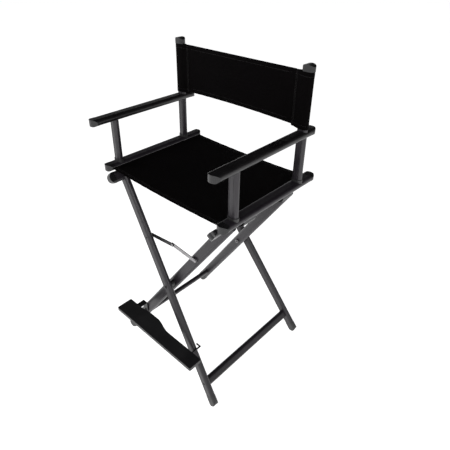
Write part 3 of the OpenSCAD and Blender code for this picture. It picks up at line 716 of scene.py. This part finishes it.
class StudioSettings(bpy.types.PropertyGroup):
    """The camera, floor and lights."""

    camera_place: FloatVectorProperty(
        name="Camera place", description="Where the camera stands",
        subtype="XYZ", unit="LENGTH", size=3, default=(0.9387, -0.9259, 1.4687))
    azimuth: FloatProperty(
        name="Azimuth", description="Which way the camera looks, from +Y towards -X",
        subtype="ANGLE", default=math.radians(43.70))
    elevation: FloatProperty(
        name="Elevation", description="How steeply the camera looks down",
        subtype="ANGLE", default=math.radians(31.21))
    roll: FloatProperty(
        name="Roll", description="How far the camera leans",
        subtype="ANGLE", default=math.radians(0.16))
    lens: FloatProperty(
        name="Lens", description="Focal length on a 36 mm sensor, in millimetres",
        default=34.92, min=10, max=200)
    shift_x: FloatProperty(
        name="Shift across", description="Lens shift across the picture", default=0.0225)
    shift_y: FloatProperty(
        name="Shift up", description="Lens shift up the picture", default=-0.0559)
    floor_colour: FloatVectorProperty(
        name="Floor colour", description="Colour of the plain floor",
        subtype="COLOR", size=3, min=0, max=1, default=(0.9, 0.9, 0.9))
    floor_glow: FloatProperty(
        name="Floor glow", description="Light that the floor gives off, as a lit table does",
        default=0.95, min=0.0, max=2.0)


# ---- cloth surfaces

def seat_surface(settings):
    """The sling seat, settled between the two hem rods."""
    low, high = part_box("seat_fabric")
    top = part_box("seat_rod_left")[0].z + 4 * MM
    left, right = low.x, high.x
    front, rear = low.y, high.y

    def flat(u, v):
        """A point of the cloth as cut, a little wider than the span."""
        x = left + (right - left) * u
        return Vector((x * (1 + settings.seat_slack), front + (rear - front) * v, top))

    def hung(u, v):
        """A point of the cloth laid between the rods before it settles."""
        x = left + (right - left) * u
        drop = 0.0
        return Vector((x, front + (rear - front) * v, top - drop))

    return settle_cloth("seat settling", flat, hung, 73, 61, lambda u, v: u in (0.0, 1.0),
                        settings.settle_frames, 0.0016, 40.0)


def back_surface(settings):
    """The back panel, settled between its two seams; it pulls from upper left to lower right."""
    low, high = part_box("back_fabric")
    middle = (low.y + high.y) / 2
    drop = 3 * MM                    # of the bottom edge below the solid's, at both seams
    rise = 5 * MM                    # of the bottom edge's middle above its ends
    corner_pull = 2.6 * MM
    ripple = 0.6 * MM

    def bottom(u):
        """Height of the bottom edge, which rises a little in the middle."""
        return low.z - drop + rise * (1 - (2 * u - 1) ** 2)

    def flat(u, v):
        """A point of the panel as cut."""
        x = low.x + (high.x - low.x) * u
        base = bottom(u)
        return Vector((x * (1 + settings.back_slack), middle, base + (high.z - base) * v))

    def hung(u, v):
        """A point of the panel laid between the seams, pulled out at two corners."""
        x = low.x + (high.x - low.x) * u
        base = bottom(u)
        pull = corner_pull * ((v - 0.5) * (1 - 2 * u))
        wave = ripple * math.sin(9 * u + 5 * v) * math.sin(math.pi * u)
        return Vector((x - pull, middle + wave, base + (high.z - base) * v))

    return settle_cloth("back settling", flat, hung, 91, 35, lambda u, v: u in (0.0, 1.0),
                        settings.settle_frames, 0.0012, 30.0)


# ---- operators

class CHAIR_OT_finish_tubes(bpy.types.Operator):
    """Powder coat on the legs, rails, posts, stretchers and armrests"""

    bl_idname = "chair.finish_tubes"
    bl_label = "Coat the tubes"

    def execute(self, context):
        finish = context.scene.chair_finish
        coat = coated_metal("Powder coat", finish.tube, finish.coat_gloss)
        for node in ("outer_leg_front", "outer_leg_rear", "inner_leg_front", "inner_leg_rear",
                     "outer_stretcher", "inner_stretcher", "outer_lower_rail",
                     "inner_lower_rail", *both("seat_rail", "front_post", "rear_post")):
            dress(node, coat)
        grip = coated_metal("Armrest coat", finish.armrest, finish.coat_gloss - 0.04,
                            grain=0.08, edge_wear_and_highlight=0.25)
        for node in both("armrest"):
            dress(node, grip)
        return {"FINISHED"}


class CHAIR_OT_finish_plastic(bpy.types.Operator):
    """Moulded plastic on the caps, feet, collars, spacers and hinge clips"""

    bl_idname = "chair.finish_plastic"
    bl_label = "Finish the plastic"

    def execute(self, context):
        finish = context.scene.chair_finish
        glossy = moulded_plastic("Glossy cap plastic", finish.plastic, 0.3)
        matt = moulded_plastic("Matt fitting plastic", lighter(finish.plastic, 0.012), 0.48)
        caps = ("outer_rail_caps", "inner_rail_caps",
                *both("seat_rail_caps", "armrest_caps", "post_cap"))
        feet = ("outer_foot_front", "outer_foot_rear", "inner_foot_front", "inner_foot_rear",
                "pivot_spacers")
        fittings = both("post_collars", "hinge_clips")
        for nodes, plastic, round_off in ((caps, glossy, 0.8), (feet, matt, 0.7),
                                          (fittings, matt, 0.5)):
            for node in nodes:
                dress(node, plastic)
                soften(node, round_off * MM)
        return {"FINISHED"}


class CHAIR_OT_finish_fittings(bpy.types.Operator):
    """Blackened and plated steel on the bolts, brace, rivets, rods and screws"""

    bl_idname = "chair.finish_fittings"
    bl_label = "Finish the fittings"

    def execute(self, context):
        finish = context.scene.chair_finish
        for node in ("outer_stretcher_screws", "inner_stretcher_screws", "pivot_bolts",
                     "outer_brace_bolt", "footrest_bolt", "brace_link_outer"):
            dress(node, black_steel(finish))
        for node in ("pivot_nuts", "inner_brace_bolt", "brace_link_inner", "brace_rivet_front",
                     "brace_rivet_rear", *both("clip_screws", "seat_rod")):
            dress(node, zinc_plate(finish))
        for node in ("brace_link_outer", "brace_link_inner"):
            soften(node, 0.4 * MM)
        return {"FINISHED"}


class CHAIR_OT_finish_footrest(bpy.types.Operator):
    """Coat on the footrest board, with soft edges lightened partly as rubbed wear and partly as a
    painted highlight, and on its bracket, hook and screws
    """

    bl_idname = "chair.finish_footrest"
    bl_label = "Finish the footrest"

    def execute(self, context):
        finish = context.scene.chair_finish
        # full edge amount: the board's edges turn pale grey, partly rubbed wear and partly a painted
        # highlight
        board = coated_metal("Footrest coat", finish.footrest, 0.42, grain=0.2,
                             grain_size=700.0, edge_wear_and_highlight=1.0)
        dress("footrest_plate", board)
        soften("footrest_plate", 1.4 * MM, 3)
        for node in ("footrest_bracket", "footrest_hook"):
            dress(node, black_steel(finish))
        soften("footrest_bracket", 0.5 * MM)
        dress("footrest_screws", zinc_plate(finish))
        return {"FINISHED"}


class CHAIR_OT_sew_seat(bpy.types.Operator):
    """The sling seat: a settled cloth with turned front and rear hems and two rows of stitches"""

    bl_idname = "chair.sew_seat"
    bl_label = "Sew the seat"

    def execute(self, context):
        cloth = context.scene.chair_cloth
        surface = seat_surface(cloth)
        low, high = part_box("seat_fabric")
        width, depth = high.x - low.x, high.y - low.y
        hem = cloth.hem
        rows = (hem * 0.55, hem * 0.86)
        us = grid_lines(width, [0.0, 3 * MM, 6 * MM], 7 * MM)
        beside = [row + side * ROW_SIDE for row in rows for side in (-1, 1)]
        vs = grid_lines(depth, sorted([0.0, 1.5 * MM, 4 * MM, *rows, *beside, hem + 1 * MM,
                                       hem + 4 * MM]), 7 * MM)
        hems = Hems(width, depth, hem, rows, fold=1.5, draw=0.7, pucker=7 * MM)
        stuff = woven_cloth("Seat cloth", cloth.colour, 0, 1, cloth.threads)
        mesh = thick_sheet(surface, us, vs, hems.thickness, hems.lift)
        seat = new_object("seat_cloth", mesh, stuff, "side_left")
        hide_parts("seat_fabric")
        thread = moulded_plastic("Sewing thread", cloth.thread_colour, 0.6)
        mesh = joined_stitches(hems.sewn(surface, us[1:-1], (1,)), cloth.stitch)
        sewing = new_object("seat_stitches", mesh, thread, "side_left")
        narrow_with_fold((seat, sewing), width)
        return {"FINISHED"}


def fold_keep(width):
    """Share of a cloth's width that is left when the chair is folded."""
    joints = {j["name"]: j for j in FRAME["joints"]}
    pivot = joints["fold"]["pos_m"]
    rail = joints["side_right"]["pos_m"]
    reach = math.hypot(rail[0] - pivot[0], rail[2] - pivot[2])
    angle = math.atan2(rail[0] - pivot[0], rail[2] - pivot[2])
    angle -= math.radians(joints["fold"]["range_deg"][1]) / 2
    closed = 2 * (rail[0] - reach * math.sin(angle))
    return (width - closed) / width


def narrow_with_fold(pieces, width):
    """Gives a cloth and its stitches meshes of their own; the share of the width that the fold
    leaves is worked out but not used, so nothing is squeezed as the chair folds.
    """
    keep = fold_keep(width)
    for piece in pieces:
        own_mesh(piece)


class CHAIR_OT_sew_back(bpy.types.Operator):
    """The back panel with its hems and seams, and the pockets that hold the rear posts"""

    bl_idname = "chair.sew_back"
    bl_label = "Sew the back"

    def execute(self, context):
        cloth = context.scene.chair_cloth
        surface = back_surface(cloth)
        low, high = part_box("back_fabric")
        width, height = high.x - low.x, high.z - low.z
        hem = cloth.hem
        row = hem * 0.8
        us = grid_lines(width, [0.0, 2 * MM, 4 * MM], 6 * MM)
        vs = grid_lines(height, [0.0, 1.5 * MM, 4 * MM, row - ROW_SIDE, row, row + ROW_SIDE,
                                 hem + 1 * MM, hem + 4 * MM], 6 * MM)
        hems = Hems(width, height, hem, (row,), fold=1.3, draw=0.6, pucker=6 * MM)
        stuff = woven_cloth("Back cloth", cloth.colour, 0, 2, cloth.threads)
        thread = moulded_plastic("Back sewing thread", cloth.thread_colour, 0.6)
        mesh = thick_sheet(surface, us, vs, hems.thickness, hems.lift)
        panel = new_object("back_cloth", mesh, stuff, "side_left")
        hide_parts("back_fabric")
        inner = [u for u in us if PLAIN_END < u * width < width - PLAIN_END]
        mesh = joined_stitches(hems.sewn(surface, inner, (1, -1)), cloth.stitch)
        sewing = new_object("back_stitches", mesh, thread, "side_left")
        narrow_with_fold((panel, sewing), width)
        for side in SIDES:
            sew_pocket(side, cloth, stuff, thread)
        return {"FINISHED"}


def layer_gap(x, at_post, at_seam):
    """Half the distance between a pocket's two layers at x, from its post out to its seam."""
    start = POST_FLAT * 0.4
    return at_post + (at_seam - at_post) * smooth((x - start) / (SEAM_OUT - start))


def pocket_outline(grow):
    """A pocket round its post, as a closed loop of (towards the seam, towards the back) pairs,
    grow outside the post's own outline."""
    r = POST_ROUND + grow
    tip = 0.9 * MM + grow * 0.35
    loop = []
    for i in range(POCKET_STEPS + 1):
        angle = math.pi / 2 + math.pi * i / POCKET_STEPS
        loop.append((-POST_FLAT + r * math.cos(angle), r * math.sin(angle)))
    layer = [-POST_FLAT + (SEAM_OUT + POST_FLAT) * i / POCKET_STEPS
             for i in range(1, POCKET_STEPS)]
    loop += [(x, -layer_gap(x, r, tip)) for x in layer]
    loop += [(SEAM_OUT, -tip), (SEAM_OUT + 1.5 * MM, 0.0), (SEAM_OUT, tip)]
    loop += [(x, layer_gap(x, r, tip)) for x in reversed(layer)]
    return loop


def sew_pocket(side, cloth, stuff, thread):
    """One pocket: the cloth goes round the post and its two layers meet at a double seam."""
    s = side_sign(side)
    low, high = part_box(f"back_sleeve_{side}")
    post = node_middle(f"rear_post_{side}")
    low_z, high_z = low.z - POCKET_DROP, high.z
    height = high_z - low_z
    levels = grid_lines(height, [0.0, 1.0 * MM, 3 * MM, POCKET_ROW - ROW_SIDE, POCKET_ROW,
                                 POCKET_ROW + ROW_SIDE, 18 * MM], 6 * MM)
    seed = 3.0 + s
    verts, faces, rings = [], [], []

    def place(point, z):
        """A loop point beside its post, with the soft creases of a loaded pocket."""
        x, y = point
        crease = 0.5 * MM * noise.noise(Vector((x * 60, z * 26, seed)))
        crease += 0.35 * MM * math.sin(z * 210 + x * 70) * smooth((x - 5 * MM) / (20 * MM))
        away = Vector((x, y))
        if away.length > 0:
            away = away.normalized()
        free = smooth((x - 8 * MM) / (10 * MM)) * (1 - smooth((x - 34 * MM) / (6 * MM)))
        return Vector((post.x - s * (x + away.x * crease * free),
                       post.y + y + away.y * crease * (0.25 + 0.75 * free), z))

    for skin in (OUTER_SKIN, INNER_SKIN):
        for level in levels:
            z = low_z + height * level
            grow = skin
            if skin == OUTER_SKIN:
                from_edge = min(level, 1 - level) * height
                hemmed = 1 - smooth((from_edge - 15 * MM) / (2 * MM))
                drawn = bump(from_edge, POCKET_ROW, 1.0 * MM)
                grow += (0.35 * hemmed - 0.3 * drawn) * MM
            rings.append(len(verts))
            verts += [place(point, z) for point in pocket_outline(grow)]
    around, count = len(pocket_outline(0.0)), len(levels)
    joins = [(skin * count + k, skin * count + k + 1) for skin in (0, 1)
             for k in range(count - 1)]
    for lower, upper in joins + [(0, count), (count - 1, 2 * count - 1)]:
        a, b = rings[lower], rings[upper]
        for i in range(around):
            j = (i + 1) % around
            faces.append((a + i, a + j, b + j, b + i))
    pocket = new_object(f"back_pocket_{side}", mesh_from(verts, faces), stuff, f"side_{side}")
    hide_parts(f"back_sleeve_{side}")
    lines = []
    for x in SEAM_ROWS:
        y = layer_gap(x, POST_ROUND + OUTER_SKIN, 1.5 * MM) + THREAD_LIFT
        for face in (-1, 1):
            row = []
            for k in range(61):
                z = low_z + 3 * MM + (height - 6 * MM) * k / 60
                row.append((Vector((post.x - s * x, post.y + face * y, z)),
                            Vector((0, face, 0))))
            lines.append(row)
    for z in (low_z + POCKET_ROW, high_z - POCKET_ROW):
        loop = pocket_outline(1.9 * MM)
        row = []
        for a, b in zip(loop, loop[1:]):
            out = Vector((s * (b[1] - a[1]), b[0] - a[0], 0))
            if out.dot(Vector((-s * a[0], a[1], 0))) < 0:
                out.negate()
            row.append((place(a, z), out.normalized()))
        lines.append(row)
    sewing = new_object(f"back_pocket_stitches_{side}", joined_stitches(lines, cloth.stitch),
                        thread, f"side_{side}")


class CHAIR_OT_set_studio(bpy.types.Operator):
    """The plain floor, the soft lights and the camera"""

    bl_idname = "chair.set_studio"
    bl_label = "Set the studio"

    def execute(self, context):
        studio = context.scene.chair_studio
        set_camera(context.scene, studio)
        set_floor(studio)
        set_lights(context.scene)
        return {"FINISHED"}


def set_camera(scene, studio):
    """Puts the camera where the settings say, leaning by its roll."""
    data = bpy.data.cameras.new("Camera")
    data.sensor_width = 36.0
    data.lens = studio.lens
    data.shift_x = studio.shift_x
    data.shift_y = studio.shift_y
    data.clip_start, data.clip_end = 0.05, 60.0
    camera = bpy.data.objects.new("Camera", data)
    scene.collection.objects.link(camera)
    a, e, roll = studio.azimuth, studio.elevation, studio.roll
    forward = -Vector((math.sin(a) * math.cos(e), -math.cos(a) * math.cos(e), math.sin(e)))
    right = forward.cross(Vector((0, 0, 1))).normalized()
    down = -right.cross(forward)
    c, s = math.cos(roll), math.sin(roll)
    right, down = right * c - down * s, right * s + down * c
    turn = Matrix((right, -down, -forward)).transposed()
    camera.matrix_world = Matrix.Translation(Vector(studio.camera_place)) @ turn.to_4x4()
    scene.camera = camera


def set_floor(studio):
    """A plain pale floor with the faintest unevenness."""
    verts, faces = [(0, 0, 0)], []
    rings, spokes, radius = 10, 48, 14.0
    for ring in range(1, rings + 1):
        r = radius * (ring / rings) ** 2
        for k in range(spokes):
            angle = math.tau * k / spokes
            verts.append((r * math.cos(angle), r * math.sin(angle), 0))
    for k in range(spokes):
        faces.append((0, 1 + k, 1 + (k + 1) % spokes))
    for ring in range(rings - 1):
        a, b = 1 + ring * spokes, 1 + (ring + 1) * spokes
        for k in range(spokes):
            faces.append((a + k, b + k, b + (k + 1) % spokes, a + (k + 1) % spokes))
    mesh = bpy.data.meshes.new("floor")
    mesh.from_pydata(verts, [], faces)
    floor = bpy.data.objects.new("floor", mesh)
    bpy.context.scene.collection.objects.link(floor)
    material, graph, shader = new_material("Floor paint")
    skin = use_group(graph, grain_group(), Grain_Size=300.0, Cloud_Size=1.5)
    colour = graph.blend(skin.outputs["Cloud"], rgba(darker(studio.floor_colour, 0.01)),
                         rgba(studio.floor_colour))
    graph.feed(shader.inputs["Base Color"], colour)
    shader.inputs["Roughness"].default_value = 0.9
    shader.inputs["Specular IOR Level"].default_value = 0.1
    shader.inputs["Emission Color"].default_value = (1.0, 1.0, 1.0, 1.0)
    shader.inputs["Emission Strength"].default_value = studio.floor_glow
    mesh.materials.append(material)


def add_light(scene, name, place, target, size, power):
    """A large soft area light that points at a target."""
    data = bpy.data.lights.new(name, "AREA")
    data.shape = "RECTANGLE"
    data.size, data.size_y = size
    data.energy = power
    light = bpy.data.objects.new(name, data)
    light.location = place
    aim = Vector(target) - Vector(place)
    light.rotation_mode = "QUATERNION"
    light.rotation_quaternion = aim.to_track_quat("-Z", "Y")
    scene.collection.objects.link(light)


def set_lights(scene):
    """A surround that is bright at the horizon and dark overhead, with soft lights in front."""
    world = bpy.data.worlds.new("Studio")
    world.use_nodes = True
    graph = Graph(world.node_tree)
    ground = world.node_tree.nodes["Background"]
    way = graph.node("ShaderNodeTexCoord").outputs["Generated"]
    rise = graph.node("ShaderNodeSeparateXYZ", {0: way}).outputs["Z"]
    glow = graph.stretch(rise, 0.02, 0.3, 1.0, 0.02)
    seen = graph.node("ShaderNodeLightPath").outputs["Is Camera Ray"]
    graph.feed(ground.inputs["Strength"], graph.maths("MAXIMUM", glow, seen))
    ground.inputs["Color"].default_value = (1.0, 1.0, 1.0, 1.0)
    scene.world = world
    scene.view_settings.view_transform = "Standard"
    middle = (0.0, -0.1, 0.6)
    add_light(scene, "Front soft box", (1.2, -3.2, 2.4), middle, (2.4, 1.6), 45)
    add_light(scene, "Right soft box", (3.0, -1.0, 2.0), middle, (1.4, 2.0), 28)
    add_light(scene, "Left soft box", (-2.8, -1.6, 2.2), middle, (1.4, 2.0), 26)


class CHAIR_PT_maker(bpy.types.Panel):
    """The chair's steps and settings"""

    bl_idname = "CHAIR_PT_maker"
    bl_label = "Folding chair"
    bl_space_type = "VIEW_3D"
    bl_region_type = "UI"
    bl_category = "Chair"

    def draw(self, context):
        layout = self.layout
        for step in STEPS:
            layout.operator(step.bl_idname)
        for group in (context.scene.chair_cloth, context.scene.chair_finish,
                      context.scene.chair_studio):
            box = layout.box()
            for key in group.__annotations__:
                box.prop(group, key)


STEPS = (CHAIR_OT_set_studio, CHAIR_OT_finish_tubes, CHAIR_OT_finish_plastic,
         CHAIR_OT_finish_fittings, CHAIR_OT_finish_footrest, CHAIR_OT_sew_seat,
         CHAIR_OT_sew_back)
GROUPS = {"chair_cloth": ClothSettings, "chair_finish": FinishSettings,
          "chair_studio": StudioSettings}


def register():
    """Registers the settings, the steps and the panel."""
    for name, group in GROUPS.items():
        bpy.utils.register_class(group)
        setattr(bpy.types.Scene, name, PointerProperty(type=group))
    for step in STEPS:
        bpy.utils.register_class(step)
    bpy.utils.register_class(CHAIR_PT_maker)


def unregister():
    """Takes everything out again."""
    bpy.utils.unregister_class(CHAIR_PT_maker)
    for step in reversed(STEPS):
        bpy.utils.unregister_class(step)
    for name, group in GROUPS.items():
        delattr(bpy.types.Scene, name)
        bpy.utils.unregister_class(group)


def main():
    """Makes the whole chair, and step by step."""
    register()
    bpy.ops.chair.set_studio()
    bpy.ops.chair.finish_tubes()
    bpy.ops.chair.finish_plastic()
    bpy.ops.chair.finish_fittings()
    bpy.ops.chair.finish_footrest()
    bpy.ops.chair.sew_seat()
    bpy.ops.chair.sew_back()


if __name__ == "__main__":
    main()
